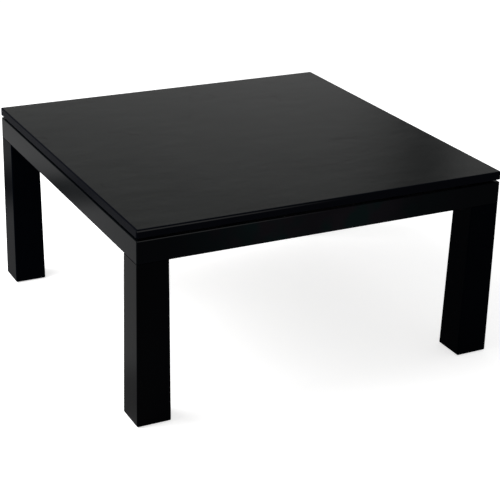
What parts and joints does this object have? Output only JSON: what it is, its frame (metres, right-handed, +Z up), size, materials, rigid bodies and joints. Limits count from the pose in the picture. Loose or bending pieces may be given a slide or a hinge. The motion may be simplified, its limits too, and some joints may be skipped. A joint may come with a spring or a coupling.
{
  "type": "kotatsu table",
  "caption": "Low square black lacquered kotatsu table: lift-off top on a bolted leg frame with a guarded fan heater underneath.",
  "frame": {"origin": "on the floor under the middle of the table", "axes": "+Z up, +X to the right seen from the front, -Y towards the front"},
  "size_m": [0.75, 0.75, 0.38],
  "materials": {
    "black_top_sheet": "glossy",
    "black_edge_band": "glossy",
    "board_core": "raw board",
    "back_sheet": "matt",
    "black_lacquered_wood": "high gloss lacquer",
    "bare_wood": "planed",
    "zinc_steel": "zinc plated",
    "brass": "plain",
    "beech": "flat dowel",
    "glide_plastic": "matt",
    "cushion_rubber": "matt",
    "case_steel": "heat resistant paint",
    "guard_wire": "heat resistant paint",
    "bright_aluminium": "bright",
    "bracket_steel": "aluminised",
    "quartz": "satin quartz",
    "heating_alloy": "oxidised",
    "ceramic": "unglazed",
    "lamination_steel": "stacked sheet",
    "copper_winding": "enamelled",
    "sintered_bronze": "sintered",
    "fan_aluminium": "plain",
    "black_phenolic": "moulded"
  },
  "bodies": {
    "frame": {"front_apron": "black_lacquered_wood", "right_apron": "black_lacquered_wood", "rear_apron": "black_lacquered_wood", "left_apron": "black_lacquered_wood", "left_crossbar": "bare_wood", "right_crossbar": "bare_wood", "front_crossbar": "bare_wood", "rear_crossbar": "bare_wood", "front_left_corner_block": "bare_wood", "front_right_corner_block": "bare_wood", "rear_right_corner_block": "bare_wood", "rear_left_corner_block": "bare_wood", "front_left_leg": "black_lacquered_wood", "front_right_leg": "black_lacquered_wood", "rear_right_leg": "black_lacquered_wood", "rear_left_leg": "black_lacquered_wood", "leg_bolts": "zinc_steel", "leg_bolt_washers": "zinc_steel", "leg_threaded_inserts": "zinc_steel", "leg_dowels": "beech", "foot_glides": "glide_plastic", "tabletop_cushion_pads": "cushion_rubber", "heater_case": "case_steel", "heater_cover": "case_steel", "heater_guard": "guard_wire", "reflector": "bright_aluminium", "right_tube_bracket": "bracket_steel", "left_tube_bracket": "bracket_steel", "front_quartz_tube": "quartz", "rear_quartz_tube": "quartz", "heating_coils": "heating_alloy", "tube_end_caps": "ceramic", "tube_terminal_tabs": "brass", "heater_mounting_screws": "zinc_steel", "motor_stack": "lamination_steel", "motor_winding": "copper_winding", "motor_bearing_bridges": "bracket_steel", "motor_bushes": "sintered_bronze", "motor_spacers": "zinc_steel", "motor_screws": "zinc_steel", "thermostat": "black_phenolic", "thermal_fuse": "ceramic", "terminal_block": "ceramic", "inlet_socket": "black_phenolic", "inlet_pins": "brass"},
    "tabletop": {"tabletop_core": "board_core", "tabletop_face_sheet": "black_top_sheet", "tabletop_back_sheet": "back_sheet", "front_edge_band": "black_edge_band", "right_edge_band": "black_edge_band", "rear_edge_band": "black_edge_band", "left_edge_band": "black_edge_band"},
    "fan": {"motor_rotor": "lamination_steel", "fan_shaft": "zinc_steel", "fan_impeller": "fan_aluminium"}
  },
  "joints": [
    {"name": "tabletop_lift", "type": "slide", "parent": "frame", "child": "tabletop", "axis": [0, 0, 1], "range_m": [0, 0.15]},
    {"name": "fan_spin", "type": "hinge", "parent": "frame", "child": "fan", "pos_m": [0, 0, 0.34], "axis": [0, 0, 1], "continuous": true}
  ]
}
